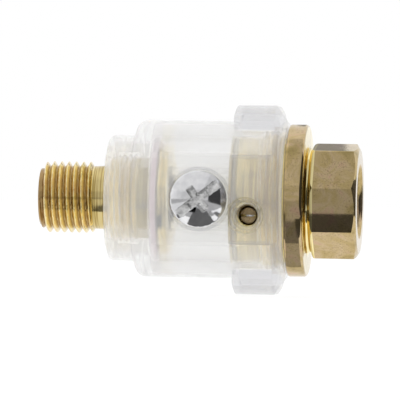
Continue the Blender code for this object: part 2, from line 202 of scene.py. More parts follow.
def clear_plastic(name, tint, rough, ior, haze=0.0, solid=1.0, thick=None):
    """Moulded clear plastic with faint flow waviness. haze makes it milky, and solid below 1 lets the
    rest of what is behind through unbent. thick is (radius, tint): beyond that radius it has that tint."""
    n = Nodes(name)
    n.shader.inputs["Alpha"].default_value = solid
    n.shader.inputs["Transmission Weight"].default_value = 1.0 - haze
    n.shader.inputs["IOR"].default_value = ior
    shade = tuple(c * 0.985 for c in tint)
    colour = n.ramp(n.noise(260.0, detail=2.0, rough=0.5), [(0.3, shade), (0.7, tint)])
    if thick is not None:
        radius, thick_tint = thick
        colour = n.mix(n.math("GREATER_THAN", n.off_axis(), radius), colour, thick_tint)
    n.link(colour, "Base Color")
    n.link(n.ramp(n.noise(1500.0, detail=3.0), [(0.35, rough * 0.6), (0.75, rough * 1.5)]), "Roughness")
    flow = n.noise(1.0, detail=2.0, rough=0.5, vector=n.scaled((160.0, 420.0, 420.0)))
    n.link(n.bump(flow, strength=0.12, distance=0.00005), "Normal")
    return n.material


def plated(name, bright, dull, rough, relief=0.25):
    """Bright plating with a fine uneven surface. relief above 1 makes the bumps higher, not sharper."""
    n = Nodes(name)
    n.shader.inputs["Metallic"].default_value = 1.0
    n.link(n.ramp(n.noise(700.0, detail=4.0), [(0.35, dull), (0.65, bright)]), "Base Color")
    n.link(n.ramp(n.noise(1900.0, detail=3.0), [(0.3, rough[0]), (0.7, rough[1])]), "Roughness")
    height = n.noise(2600.0, detail=3.0)
    n.link(n.bump(height, strength=min(1.0, relief), distance=0.00002 * max(1.0, relief)), "Normal")
    return n.material


def dull_solid(name, tone_a, tone_b, rough, scale=900.0, bump=0.2):
    """Rubber, nylon, acetal, felt or fibre: a mottled non-metal."""
    n = Nodes(name)
    n.link(n.ramp(n.noise(scale, detail=4.0), [(0.35, tone_a), (0.65, tone_b)]), "Base Color")
    ends = [(0.3, rough * 0.85), (0.7, min(1.0, rough * 1.1))]
    n.link(n.ramp(n.noise(scale * 2, detail=3.0), ends), "Roughness")
    n.link(n.bump(n.noise(scale * 4, detail=4.0), strength=bump, distance=0.00004), "Normal")
    return n.material


# Mesh helpers -------------------------------------------------------------------------------------
def arc(centre_x, centre_r, radius, start, end, steps):
    """Points of an outline along an arc, from the start to the end angle in degrees."""
    angles = [math.radians(start + (end - start) * i / steps) for i in range(steps + 1)]
    return [(centre_x + radius * math.cos(a), centre_r + radius * math.sin(a)) for a in angles]


def object_from(name, points, faces, sharp=30.0):
    """A smooth-shaded object with its normals outwards, from points in millimetres."""
    mesh = bpy.data.meshes.new(name)
    mesh.from_pydata([tuple(float(c) * MM for c in p) for p in points], [], faces)
    shape = bmesh.new()
    shape.from_mesh(mesh)
    bmesh.ops.recalc_face_normals(shape, faces=shape.faces)
    shape.to_mesh(mesh)
    shape.free()
    thing = bpy.data.objects.new(name, mesh)
    bpy.context.scene.collection.objects.link(thing)
    mesh.shade_smooth()
    mesh.set_sharp_from_angle(angle=math.radians(sharp))
    return thing


def polar(x, r, angle):
    """Angle 0 faces -Y, a quarter turn faces -Z."""
    return (x, -r * math.cos(angle), -r * math.sin(angle))


def lathe(name, outline, sides, sharp=30.0, radius=None):
    """Turns an outline of (station, radius) about X. An outline that starts and ends on the axis is a
    full solid, any other closes on itself. radius(x, r, angle) may reshape each point."""
    full = outline[0][1] == 0 and outline[-1][1] == 0
    rings = outline[1:-1] if full else outline
    points = []
    for x, r in rings:
        for k in range(sides):
            a = math.tau * k / sides
            points.append(polar(x, radius(x, r, a) if radius else r, a))
    faces = []
    for i in range(len(rings) - 1 if full else len(rings)):
        here, there = i * sides, (i + 1) % len(rings) * sides
        for k in range(sides):
            n = (k + 1) % sides
            faces.append((here + k, here + n, there + n, there + k))
    if full:
        for x, last in ((outline[0][0], 0), (outline[-1][0], len(rings) - 1)):
            loop = [last * sides + k for k in range(sides)]
            if x == rings[last][0]:
                faces.append(tuple(loop))
                continue
            faces += [(len(points), loop[k], loop[(k + 1) % sides]) for k in range(sides)]
            points.append((x, 0.0, 0.0))
    return object_from(name, points, faces, sharp)


def thread_depth(x, angle, pitch, start, end, fade):
    """How deep a right-hand V thread is cut at a point, from 0 on a crest to 1 in a root. It fades out at
    both ends, over the length fade."""
    crest = 0.12
    phase = (x / pitch - angle / math.tau) % 1.0
    v = 1.0 - abs(2.0 * phase - 1.0)
    v = min(1.0, max(0.0, (v - crest) / (1.0 - 2.0 * crest)))
    ends = min(1.0, max(0.0, (x - start) / fade), max(0.0, (end - x) / fade))
    return v * max(0.0, ends)


def steps_between(a, b, step):
    """Even steps from a to b, both included, as close to step as they come."""
    count = max(1, round(abs(b - a) / step))
    return [a + (b - a) * i / count for i in range(count + 1)]


def octagon_bar(name, start, end, corner_r):
    """An octagonal bar between two stations."""
    corners = [math.radians(OCTAGON_TURN + 22.5 + 45 * k) for k in range(8)]
    points = [polar(x, corner_r, a) for x in (start, end) for a in corners]
    faces = [tuple(range(8)), tuple(range(15, 7, -1))]
    faces += [(k, (k + 1) % 8, 8 + (k + 1) % 8, 8 + k) for k in range(8)]
    return object_from(name, points, faces)


def block(name, low, high):
    """A box-shaped cutter."""
    corners = [(x, y, z) for x in (low[0], high[0]) for y in (low[1], high[1]) for z in (low[2], high[2])]
    faces = [(0, 1, 3, 2), (4, 6, 7, 5), (0, 4, 5, 1), (2, 3, 7, 6), (0, 2, 6, 4), (1, 5, 7, 3)]
    return object_from(name, corners, faces)


def wedge(name, tip, top, half_length, half_width, slope):
    """A cutter for a V-bottomed slot, upright on local X."""
    knee = tip + half_width * slope
    ring = [(top, -half_width), (knee, -half_width), (tip, 0.0), (knee, half_width), (top, half_width)]
    points = [(x, y, z) for y in (-half_length, half_length) for x, z in ring]
    faces = [(0, 1, 2, 3, 4), (9, 8, 7, 6, 5)]
    faces += [(k, k + 5, (k + 1) % 5 + 5, (k + 1) % 5) for k in range(5)]
    return object_from(name, points, faces)


def tapered_cross(name, depth, half_z, half_y):
    """A cutter for one arm of a cross recess, narrower at its bottom."""
    top, shrink, spread = 18.0, 0.72, 1.15
    points = []
    for x, k in ((depth, shrink), (top, spread)):
        points += [(x, -half_y * k, -half_z * k), (x, half_y * k, -half_z * k)]
        points += [(x, half_y * k, half_z * k), (x, -half_y * k, half_z * k)]
    faces = [(0, 1, 2, 3), (7, 6, 5, 4), (0, 4, 5, 1), (1, 5, 6, 2), (2, 6, 7, 3), (3, 7, 4, 0)]
    return object_from(name, points, faces)


def on_line(thing, y=0.0, z=0.0):
    """Puts a shape that was made in stations on a line along X."""
    thing.location = (STATION_ZERO * MM, y * MM, z * MM)
    return thing


def facing_front(thing, station, z=0.0):
    """Local X becomes the distance from the middle plane towards -Y."""
    thing.rotation_euler = (0.0, 0.0, -math.pi / 2)
    thing.location = ((STATION_ZERO + station) * MM, 0.0, z * MM)
    return thing


def settle(thing):
    """Puts the object's place into its mesh."""
    bpy.context.view_layer.update()
    thing.data.transform(thing.matrix_world)
    thing.matrix_world = Matrix.Identity(4)
    return thing


def apply_modifiers(thing):
    bpy.context.view_layer.update()
    graph = bpy.context.evaluated_depsgraph_get()
    made = bpy.data.meshes.new_from_object(thing.evaluated_get(graph))
    thing.modifiers.clear()
    thing.data = made
    return thing


def combine(target, tools, operation="DIFFERENCE"):
    """Cuts the tools from the target, or joins them to it, and removes the tools."""
    for tool in tools:
        modifier = target.modifiers.new(tool.name, "BOOLEAN")
        modifier.operation = operation
        modifier.solver = "EXACT"
        modifier.object = tool
    apply_modifiers(target)
    for tool in tools:
        bpy.data.objects.remove(tool)
    return target


def smooth_to(thing, sharp):
    """Smooth shading, except over edges sharper than this many degrees."""
    thing.data.shade_smooth()
    thing.data.set_sharp_from_angle(angle=math.radians(sharp))
    return thing


def soften(thing, width, angle=35.0, segments=2):
    """Small rounded edges, then smooth shading."""
    modifier = thing.modifiers.new("edges", "BEVEL")
    modifier.width = width * MM
    modifier.segments = segments
    modifier.limit_method = "ANGLE"
    modifier.angle_limit = math.radians(angle)
    modifier.harden_normals = True
    return smooth_to(apply_modifiers(thing), 30.0)


def shade_evenly(thing, sharp):
    """Smooth shading between sharp edges that keeps large faces flat."""
    modifier = smooth_to(thing, sharp).modifiers.new("even", "WEIGHTED_NORMAL")
    modifier.keep_sharp = True
    modifier.weight = 100
    return apply_modifiers(thing)


def stand_for(thing, body, node, slot, *materials):
    """Gives the piece its materials, and puts it on its body in place of the CAD node."""
    picks = [face.material_index for face in thing.data.polygons]
    thing.data.materials.clear()
    for material in materials:
        thing.data.materials.append(material)
    for face, pick in zip(thing.data.polygons, picks):
        face.material_index = pick if pick < len(materials) else 0
    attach(thing, body)
    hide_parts(node)
    return thing


def mark_meter_hole(thing, least_front, reach):
    """Gives the sloping and upright walls round the metering screw the second material, where they lie
    more than least_front in front of the middle plane. On the inlet body that material is a painted
    highlight, on the bowl painted shade."""
    flat_normal = 0.9
    for face in thing.data.polygons:
        x, y, z = (c / MM for c in face.center)
        away = math.hypot(x - STATION_ZERO - METER_STATION, z + METER_DROP)
        if -y > least_front and away < reach and abs(face.normal.y) < flat_normal:
            face.material_index = 1


# Brass pieces -------------------------------------------------------------------------------------
def outlet_nipple():
    """Male pipe thread, plain neck, and the threaded shank that ends in an octagonal flange."""
    tip_r, crest_r, root_r, thread_end = 5.3, 6.5, 5.72, 10.0
    thread_cut, least_r, run_out_start, run_out_length = 0.84, 5.2, 9.5, 0.45
    shank_r, shank_start, shank_plain, shank_end = 7.35, 12.9, 18.0, 23.8
    outline = [(0.0, 0.0), (0.0, 5.15), (0.12, tip_r)]
    outline += [(x, min(crest_r, tip_r + x)) for x in steps_between(0.35, thread_end, PIPE_PITCH / 14)]
    outline += [(10.1, root_r), (11.6, 5.78), (shank_start, 5.8), (12.95, 7.1), (13.1, 7.3)]
    outline += [(x, shank_r) for x in steps_between(13.2, shank_plain, BOWL_PITCH / 10)]
    outline += [(shank_plain + 0.3, shank_r), (shank_end, shank_r), (shank_end, 0.0)]

    def radius(x, r, angle):
        if x <= thread_end:
            depth = thread_cut * thread_depth(x, angle, PIPE_PITCH, start=-0.5, end=math.inf, fade=0.9)
            depth = min(depth, max(0.0, r - least_r))
            run_out = min(1.0, max(0.0, (x - run_out_start) / run_out_length))
            return (r - depth) * (1.0 - run_out) + root_r * run_out
        if shank_start < x <= shank_plain:
            return r - 0.35 * thread_depth(x, angle, BOWL_PITCH, shank_start, shank_plain, fade=0.4)
        return r

    body = on_line(lathe("nipple", outline, sides=112, sharp=24.0, radius=radius))
    flange = on_line(octagon_bar("nipple_bar", 22.3, 23.9, corner_r=10.1))
    combine(body, [flange], "UNION")
    bore_r = 3.9
    bore = [(-1.0, 0.0), (-1.0, 5.2), (0.3, bore_r), (20.4, bore_r), (20.4, SOCKET_R)]
    bore += [(25.0, SOCKET_R), (25.0, 0.0)]
    combine(body, [on_line(lathe("nipple_bore", bore, sides=64))])
    return shade_evenly(settle(body), 24.0)


def inlet_turned():
    """The boss with its o-ring groove and thread, the round flange and the neck, turned as one."""
    boss_r, groove_r, thread_r, flange_r, neck_r = 11.35, 10.45, 12.05, 13.85, 9.3
    outline = [(35.4, 0.0), (35.4, boss_r - 0.15), (35.55, boss_r), (35.75, boss_r), (35.75, groove_r)]
    outline += [(36.85, groove_r), (36.85, boss_r), (40.8, boss_r), (41.2, 12.0)]
    outline += [(x, thread_r) for x in steps_between(41.3, 44.4, BOWL_PITCH / 12)]
    outline += [(44.6, boss_r), (45.5, boss_r), (45.5, 13.55), (45.62, 13.77), (45.85, flange_r)]
    outline += [(x, flange_r) for x in (46.0, 47.2, 48.3, 48.4)]
    outline += [(48.62, 13.78), (48.8, 13.62), (48.9, 13.4), (48.9, 10.6)]
    outline += [(48.95, 10.05), (49.1, 9.75), (49.3, 9.55), (49.45, 9.62), (49.6, 9.42), (49.85, neck_r)]
    outline += [(50.7, neck_r), (50.7, 0.0)]

    def radius(x, r, angle):
        if 41.2 < x < 44.5 and r > 12.0:
            return r - 0.42 * thread_depth(x, angle, BOWL_PITCH, start=41.0, end=44.6, fade=0.3)
        return r

    return on_line(lathe("inlet", outline, sides=128, sharp=24.0, radius=radius))


def wrench_octagon():
    """The octagon, with its corners turned off at both ends."""
    bar = on_line(octagon_bar("wrench_bar", 49.4, LENGTH + 1.0, corner_r=10.75))
    soften(bar, 0.25, segments=3)
    cone = arc(50.75, 9.95, 0.85, 180, 95, 5)
    envelope = [(49.9, 0.0), *cone, (51.2, 10.95), (57.25, 10.95), (57.5, 10.7)]
    envelope += [(58.1, 9.75), (58.25, 9.5), (LENGTH, 9.35), (LENGTH, 0.0)]
    return combine(bar, [on_line(lathe("wrench_chamfers", envelope, sides=150))], "INTERSECT")


def inlet_body():
    """The boss, flange and octagon with the air bore and the drillings."""
    body = inlet_turned()
    combine(body, [wrench_octagon()], "UNION")
    bore_r, port_r = 5.2, 6.15
    bore = [(34.4, 0.0), (34.4, SOCKET_R), (37.8, SOCKET_R), (37.8, bore_r), (49.0, bore_r), (49.0, port_r)]
    bore += [(LENGTH - 0.75, port_r), (LENGTH + 0.5, 7.4), (LENGTH + 0.5, 0.0)]
    meter = [(1.0, 0.0), (1.0, 0.85), (7.2, 0.85), (7.2, 1.75), (10.6, 1.75), (11.5, 2.4)]
    meter += [(13.0, 2.4), (13.0, 0.0)]
    feed = [(34.0, 0.0), (34.0, 0.9), (38.5, 0.9), (38.5, 0.0)]
    bleed = [(34.0, 0.0), (34.0, 1.3), (38.6, 1.3), (38.6, 0.8), (48.2, 0.8), (48.2, 0.0)]
    drilling_offset = 8.6
    holes = [
        on_line(lathe("inlet_bore", bore, sides=96)),
        facing_front(lathe("meter_hole", meter, sides=48), METER_STATION, -METER_DROP),
        on_line(lathe("feed", feed, sides=32), -drilling_offset, -METER_DROP),
        on_line(lathe("bleed", bleed, sides=32), drilling_offset),
    ]
    combine(body, holes)
    settle(body)
    # The walls round the metering screw get a painted highlight
    mark_meter_hole(body, least_front=10.3, reach=2.6)
    return shade_evenly(body, 24.0)


# Clear bowl ---------------------------------------------------------------------------------------
def off_lobe(angle):
    """Degrees from the middle of the nearest lobe."""
    degrees = math.degrees(angle) % 90.0
    return min(degrees, 90.0 - degrees)


def lobe_stretch(angle):
    """Makes the middle of each lobe flat. LOBE_R is the distance to that flat."""
    return 1.0 / math.cos(math.radians(min(off_lobe(angle), LOBE_FLAT_HALF)))


def lobe_share(angle):
    """1 on a lobe, 0 between lobes, with a short blend at each lobe's side."""
    blend = 3.2
    t = (LOBE_HALF + blend / 2 - off_lobe(angle)) / blend
    t = min(1.0, max(0.0, t))
    return t * t * (3.0 - 2.0 * t)


def bowl_angles():
    """Even steps round the bowl, finer at the lobes' sides."""
    found = []
    for quarter in range(4):
        for k in range(-9, 10):
            found.append(90.0 * quarter + 3.0 * k)
        for off in (LOBE_FLAT_HALF, 28.0, 28.8, 29.6, 30.4, 31.2):
            found.append(90.0 * quarter + off)
            found.append(90.0 * (quarter + 1) - off)
        for k in (34.0, 37.7, 41.3, 45.0, 48.7, 52.3, 56.0):
            found.append(90.0 * quarter + k)
    return sorted({round(a % 360.0, 4) for a in found})


def bowl_outside():
    """The outside from the neck's end to the rim, as (station, radius on a lobe, radius between lobes)."""
    plain = arc(13.5, NECK_R - 0.9, 0.9, 180, 90, 6)
    plain += [(x, NECK_R) for x in (14.4, 15.4)]
    plain += arc(16.5, NECK_R + 1.15, 1.15, -90, 0, 6)
    plain += arc(19.4, BARREL_R - 1.7, 1.7, 168, 90, 8)
    plain += [(x, BARREL_R) for x in (21.5, 24.0, 27.0, 30.0, 33.0, 35.0, 35.85)]
    lobe = [(35.9, LOBE_R - 0.55), (36.0, LOBE_R - 0.3), (36.2, LOBE_R - 0.08), (36.5, LOBE_R)]
    lobe += [(x, LOBE_R) for x in (38.0, 40.0, 42.0, 43.1)]
    stations = [(x, r, r) for x, r in plain] + [(x, r, FLOOR_R) for x, r in lobe]
    stations += [(43.3, LOBE_R - 0.03, RIM_R - 0.1), (43.5, LOBE_R - 0.25, RIM_R)]
    stations += [(44.0, LOBE_R - 1.0, RIM_R), (44.2, LOBE_R - 1.5, RIM_R - 0.02), (44.3, 15.3, 15.3)]
    return stations + [(45.0, 14.3, 14.3), (45.15, 14.1, 14.1), (45.2, 13.9, 13.9)]


def bowl_inside():
    """The inside from the rim back to the neck's end, as (station, radius), without the threads."""
    outline = [(45.2, MOUTH_R + 0.3), (45.0, MOUTH_R + 0.1)]
    outline += [(x, MOUTH_R) for x in steps_between(*reversed(MOUTH_THREAD), BOWL_PITCH / 10)]
    outline += [(40.6, CHAMBER_R + 0.1), (40.4, CHAMBER_R), (36.0, CHAMBER_R), (30.0, CHAMBER_R)]
    outline += [(24.0, CHAMBER_R), *arc(21.3, CHAMBER_R - 0.6, 0.6, 90, 180, 4), (20.7, 9.5)]
    outline += [(20.7, NECK_BORE_R + 0.2), (20.55, NECK_BORE_R)]
    outline += [(x, NECK_BORE_R) for x in steps_between(*reversed(NECK_THREAD), BOWL_PITCH / 10)]
    return outline + [(12.8, NECK_BORE_R + 0.1), (12.6, NECK_BORE_R + 0.35)]


def inner_thread(x, angle, ends, cut, fade):
    """How far the thread between two stations widens the bore at a point."""
    start, end = ends
    if not start <= x <= end:
        return 0.0
    return cut * thread_depth(x, angle, BOWL_PITCH, start - 0.1, end + 0.1, fade)


def bowl_shell():
    """The moulding before the filler screw's pad and the two holes."""
    angles = [math.radians(a) for a in bowl_angles()]
    outside, inside = bowl_outside(), bowl_inside()
    points = []
    for x, on_lobe, between in outside:
        for a in angles:
            r = between
            if on_lobe > between:
                r += (on_lobe * lobe_stretch(a) - between) * lobe_share(a)
            points.append(polar(x, r, a))
    for x, r in inside:
        for a in angles:
            wider = inner_thread(x, a, MOUTH_THREAD, cut=0.30, fade=0.4)
            wider += inner_thread(x, a, NECK_THREAD, cut=0.38, fade=0.5)
            points.append(polar(x, r + wider, a))
    rings, sides = len(outside) + len(inside), len(angles)
    faces = []
    for i in range(rings):
        here, there = i * sides, (i + 1) % rings * sides
        for k in range(sides):
            n = (k + 1) % sides
            faces.append((here + k, here + n, there + n))
            faces.append((here + k, there + n, there + k))
    return on_line(object_from("bowl_shell", points, faces))


def bowl():
    """The shell with the filler screw's pad, hole and raised lip, and the metering screw's access hole."""
    pad = [(12.5, 0.0), (12.5, 5.3), (13.9, 5.3), (14.1, 5.2), (14.1, 0.0)]
    hole_r, seat_r = 2.8, 5.7
    seat = [(9.0, 0.0), (9.0, hole_r), (FILLER_SEAT, hole_r), (FILLER_SEAT, seat_r), (16.0, seat_r)]
    seat += [(16.0, 0.0)]
    access = [(9.0, 0.0), (9.0, 1.95), (13.2, 1.95), (13.4, 2.15), (13.4, 2.45), (15.2, 2.45)]
    access += [(15.4, 2.65), (15.4, 3.1), (16.2, 3.1), (16.5, 3.35), (18.0, 3.35), (18.0, 0.0)]
    lip = [(13.5, 5.32), (14.7, 5.32), (14.95, 5.42), (15.0, 5.55), (14.95, 5.7), (14.7, 5.82)]
    lip += [(13.5, 5.82)]
    piece = bowl_shell()
    combine(piece, [facing_front(lathe("pad", pad, sides=62), FILLER_STATION)], "UNION")
    holes = [
        facing_front(lathe("seat", seat, sides=58), FILLER_STATION),
        facing_front(lathe("access", access, sides=46), METER_STATION, -METER_DROP),
    ]
    combine(piece, holes)
    combine(piece, [facing_front(lathe("lip", lip, sides=74), FILLER_STATION)], "UNION")
    settle(piece)
    # The access hole's walls get painted shade, a darker and browner plastic
    mark_meter_hole(piece, least_front=12.45, reach=3.6)
    return smooth_to(piece, 28.0)


def inner_tube():
    """A plain tube with small chamfers outside and in."""
    start, end, inner_r, outer_r, edge = 21.9, 36.3, 4.6, 5.8, 0.15
    outline = [(start, 4.7), (22.0, inner_r), (36.2, inner_r), (end, 4.7), (end, outer_r - edge)]
    outline += [(end - edge, outer_r), (start + edge, outer_r), (start, outer_r - edge)]
    return settle(on_line(lathe("tube", outline, sides=96)))


# Screws -------------------------------------------------------------------------------------------
def filler_screw():
    """A domed head with a slot and a cross recess over a threaded shank."""
    head_r, top, rim, head_turn = 5.1, 17.1, 15.25, 38.0
    rise = top - rim
    dome_r = (head_r**2 + rise**2) / (2 * rise)
    half = math.degrees(math.asin(head_r / dome_r))
    outline = [(7.6, 0.0), (7.6, 1.8), (8.0, 2.4)]
    outline += [(x, 2.45) for x in steps_between(8.1, 14.2, FILLER_PITCH / 10)]
    outline += [(14.4, 2.3), (14.8, 2.3), (14.8, 4.8), (14.9, 5.02), (15.1, head_r)]
    outline += arc(top - dome_r, 0.0, dome_r, half, 0, 18)
    outline[-1] = (top, 0.0)

    def radius(x, r, angle):
        if 8.05 < x < 14.25:
            return r - 0.4 * thread_depth(x, angle, FILLER_PITCH, start=7.9, end=14.3, fade=0.3)
        return r

    screw = lathe("screw", outline, sides=96, sharp=26.0, radius=radius)
    cutters = [
        block("slot", (15.65, -6.0, -0.80), (18.0, 6.0, 0.80)),
        tapered_cross("arm_a", 14.6, half_z=0.75, half_y=2.6),
        tapered_cross("arm_b", 14.65, half_z=2.6, half_y=0.75),
    ]
    for cutter in cutters:
        cutter.data.transform(Matrix.Rotation(math.radians(head_turn), 4, "X"))
    combine(screw, cutters)
    soften(screw, 0.09, angle=30.0)
    mark_recess(screw, head_r - 0.4, top, dome_r)
    return settle(facing_front(screw, FILLER_STATION))


def mark_recess(screw, within, top, dome_r):
    """Gives the faces below the head's dome the second material."""
    for face in screw.data.polygons:
        x, y, z = (c / MM for c in face.center)
        reach = math.hypot(y, z)
        if x > 14.5 and reach < within:
            surface = top - dome_r + math.sqrt(dome_r**2 - reach**2)
            face.material_index = int(x < surface - 0.12)


def metering_screw():
    """Sunk below its hole's mouth, with a narrow slot. The slot's floor takes the second material, bright
    zinc, as a painted highlight.
    """
    end = 10.3
    outline = [(7.8, 0.0), (7.8, 0.4), (8.6, 1.4), (8.85, 1.45), (8.85, 0.95), (9.55, 0.95), (9.55, 1.4)]
    outline += [(9.62, 1.45), (10.12, 1.45), (10.22, 1.38), (10.24, 1.1), (end, 1.0), (end, 0.0)]
    screw = lathe("meter", outline, sides=48)
    slot_half = 0.20
    combine(screw, [wedge("meter_slot", 9.95, 11.0, half_length=2.0, half_width=slot_half, slope=0.8)])
    # The slot's floor gets the second material: a painted highlight
    for face in screw.data.polygons:
        x, _, z = (c / MM for c in face.center)
        face.material_index = int(9.9 < x < 10.25 and abs(z) < slot_half - 0.01)
    return settle(facing_front(screw, METER_STATION, -METER_DROP))


# Staging ------------------------------------------------------------------------------------------
FRONT_GREY = 0.62
FRONT_LIGHT = 4.0
FLOOR_GAP, FLOOR_HALF = 0.0004, 18.0
FLOOR_Z = CAD_LOW.z - FLOOR_GAP
SENSOR_WIDTH = 36.0
CAMERA_AZIMUTH = 6.1
CAMERA_DISTANCE = 1.0
FIELD_WIDTH = 0.0729
CAMERA_ROLL = 0.94
CAMERA_AIM = (-0.00006, 0.0, -0.00018)

# Cards give the brass and the filler screw their dark and grey bands, and are named after what shows them
# or where they are. Flat ones: name, x range, y range, glow, height above the floor
FLAT_CARDS = [
    ("card_far_left", (-2000.0, 12.0), (-5000.0, -27.0), 0.45, 0.3),
    ("card_far_right", (12.0, 300.0), (-5000.0, -38.0), 0.45, 0.3),
    ("card_flange_far", (12.0, 17.2), (-38.0, -27.0), 0.36, 0.9),
    ("card_nipple", (-24.0, -17.0), (-33.0, -15.5), 0.16, 0.6),
    ("card_screw", (-7.5, 12.0), (-50.0, -16.0), 0.13, 0.6),
    ("card_flange", (14.2, 19.4), (-28.0, -13.6), 0.20, 4.6),
    ("card_low", (14.0, 20.0), (-15.5, -4.0), 0.46, 0.9),
    ("card_nipple_far", (-90.0, -24.0), (-140.0, -15.5), 0.80, 0.5),
    ("card_inner", (-16.0, -4.0), (-56.0, -36.0), 0.0, 0.9),
    ("card_top", (-80.0, 13.0), (-80.0, -20.0), 0.80, 47.6),
    ("card_upper", (8.0, 90.0), (-160.0, 20.0), 0.62, 117.6),
]
# Upright ones: name, the two ends of the line that they stand on as (x, y), z range, glow
STANDING_CARDS = [
    ("card_side", (42.0, -110.0), (42.0, -6.0), (-12.0, 36.0), 0.05),
    ("card_edge", (42.0, -6.0), (42.0, 6.0), (-5.0, 7.5), 0.10),
    ("card_back", (8.4, 100.0), (18.0, 100.0), (30.0, 65.0), 0.36),
    ("card_block", (18.3, -16.0), (28.6, -16.0), (-13.0, -4.6), 0.075),
]
SEEN_THROUGH_PLASTIC = ("card_inner", "card_side")


def studio():
    """A white sky. Reflections and diffuse light see it greyer towards the front."""
    world = bpy.data.worlds.new("studio")
    bpy.context.scene.world = world
    world.use_nodes = True
    tree = world.node_tree
    background = tree.nodes["Background"]
    background.inputs["Color"].default_value = (1.0, 1.0, 1.0, 1.0)
    coords = tree.nodes.new("ShaderNodeTexCoord")
    split = tree.nodes.new("ShaderNodeSeparateXYZ")
    tree.links.new(coords.outputs["Generated"], split.inputs[0])
    front = tree.nodes.new("ShaderNodeMapRange")
    front.interpolation_type = "SMOOTHSTEP"
    limits = {"From Min": -0.90, "From Max": 0.10, "To Min": FRONT_GREY, "To Max": 1.0}
    for socket, value in limits.items():
        front.inputs[socket].default_value = value
    tree.links.new(split.outputs["Y"], front.inputs["Value"])
    paths = tree.nodes.new("ShaderNodeLightPath")
    white = tree.nodes.new("ShaderNodeMath")
    white.operation = "MAXIMUM"
    tree.links.new(paths.outputs["Is Camera Ray"], white.inputs[0])
    tree.links.new(paths.outputs["Is Transmission Ray"], white.inputs[1])
    strength = tree.nodes.new("ShaderNodeMix")
    tree.links.new(white.outputs[0], strength.inputs["Factor"])
    tree.links.new(front.outputs["Result"], strength.inputs["A"])
    strength.inputs["B"].default_value = 1.0
    tree.links.new(strength.outputs["Result"], background.inputs["Strength"])


def glowing(name, grey, rough, glow):
    """A matt surface that gives off white light."""
    material = bpy.data.materials.new(name)
    material.use_nodes = True
    shader = material.node_tree.nodes["Principled BSDF"]
    shader.inputs["Base Color"].default_value = (grey, grey, grey, 1.0)
    shader.inputs["Roughness"].default_value = rough
    shader.inputs["Specular IOR Level"].default_value = 0.0
    shader.inputs["Emission Color"].default_value = (1.0, 1.0, 1.0, 1.0)
    shader.inputs["Emission Strength"].default_value = glow
    return material


def stage_face(name, corners, material):
    """A rectangle that belongs to the studio, with corners in metres."""
    mesh = bpy.data.meshes.new(name)
    mesh.from_pydata(corners, [], [(0, 1, 2, 3)])
    mesh.materials.append(material)
    thing = bpy.data.objects.new(name, mesh)
    bpy.context.scene.collection.objects.link(thing)
    return thing


def floor():
    signs = ((-1, -1), (1, -1), (1, 1), (-1, 1))
    corners = [(x * FLOOR_HALF, y * FLOOR_HALF, FLOOR_Z) for x, y in signs]
    return stage_face("floor", corners, glowing("floor_white", grey=0.12, rough=0.9, glow=0.92))


def card(name, corners, glow):
    """A card that shows only in reflections, and through clear plastic where the list above says so."""
    thing = stage_face(name, corners, glowing(name + "_face", grey=0.0, rough=1.0, glow=glow))
    thing.visible_camera = False
    thing.visible_transmission = name in SEEN_THROUGH_PLASTIC
    thing.visible_diffuse = False
    thing.visible_shadow = False


def flat_card(name, x_range, y_range, glow, lift):
    (x0, x1), (y0, y1) = x_range, y_range
    z = FLOOR_Z + lift * MM
    card(name, [(x * MM, y * MM, z) for x, y in ((x0, y0), (x1, y0), (x1, y1), (x0, y1))], glow)


def standing_card(name, start, end, z_range, glow):
    (x0, y0), (x1, y1), (low, high) = start, end, z_range
    corners = [(x0, y0, low), (x1, y1, low), (x1, y1, high), (x0, y0, high)]
    card(name, [tuple(c * MM for c in corner) for corner in corners], glow)


def direction(azimuth, elevation, distance):
    """A point seen from the object: azimuth 0 is in front (-Y), positive towards +X."""
    a, e = math.radians(azimuth), math.radians(elevation)
    return (
        distance * math.sin(a) * math.cos(e),
        -distance * math.cos(a) * math.cos(e),
        distance * math.sin(e),
    )


def camera():
    data = bpy.data.cameras.new("camera")
    data.sensor_width = SENSOR_WIDTH
    data.lens = SENSOR_WIDTH * CAMERA_DISTANCE / FIELD_WIDTH
    data.clip_start = 0.05
    data.clip_end = 20.0
    thing = bpy.data.objects.new("camera", data)
    bpy.context.scene.collection.objects.link(thing)
    aim = Vector(CAMERA_AIM)
    place = aim + Vector(direction(CAMERA_AZIMUTH, 0.0, CAMERA_DISTANCE))
    look = (aim - place).to_track_quat("-Z", "Y").to_matrix().to_4x4()
    roll = Matrix.Rotation(math.radians(CAMERA_ROLL), 4, "Z")
    thing.matrix_world = Matrix.Translation(place) @ look @ roll
    bpy.context.scene.camera = thing


def front_light():
    """A large soft light in front that brightens what is dull or milky and leaves the mirrors alone."""
    data = bpy.data.lights.new("front_light", "AREA")
    data.energy = FRONT_LIGHT
    data.size = 0.8
    thing = bpy.data.objects.new("front_light", data)
    bpy.context.scene.collection.objects.link(thing)
    place = Vector(direction(0.0, elevation=35.0, distance=1.2))
    thing.location = place
    thing.rotation_euler = (-place).to_track_quat("-Z", "Y").to_euler()
    thing.visible_camera = False
    thing.visible_transmission = False
    thing.visible_glossy = False


# Materials ----------------------------------------------------------------------------------------
INLET_TONES = [(0.39, 0.30, 0.12), (0.54, 0.41, 0.19), (0.61, 0.47, 0.27), (0.63, 0.42, 0.28)]
NIPPLE_TONES = [(0.66, 0.53, 0.21), (0.90, 0.75, 0.38), (0.88, 0.72, 0.39), (0.76, 0.54, 0.30)]
PAINTED_SHADE_TONES = [(0.30, 0.22, 0.12), (0.42, 0.32, 0.18)] * 2
PAINTED_HIGHLIGHT_TONES = [(0.88, 0.82, 0.66), (0.95, 0.90, 0.76)] * 2
BRONZE_TONES = [(0.40, 0.28, 0.14)] * 2 + [(0.50, 0.35, 0.18)] * 2
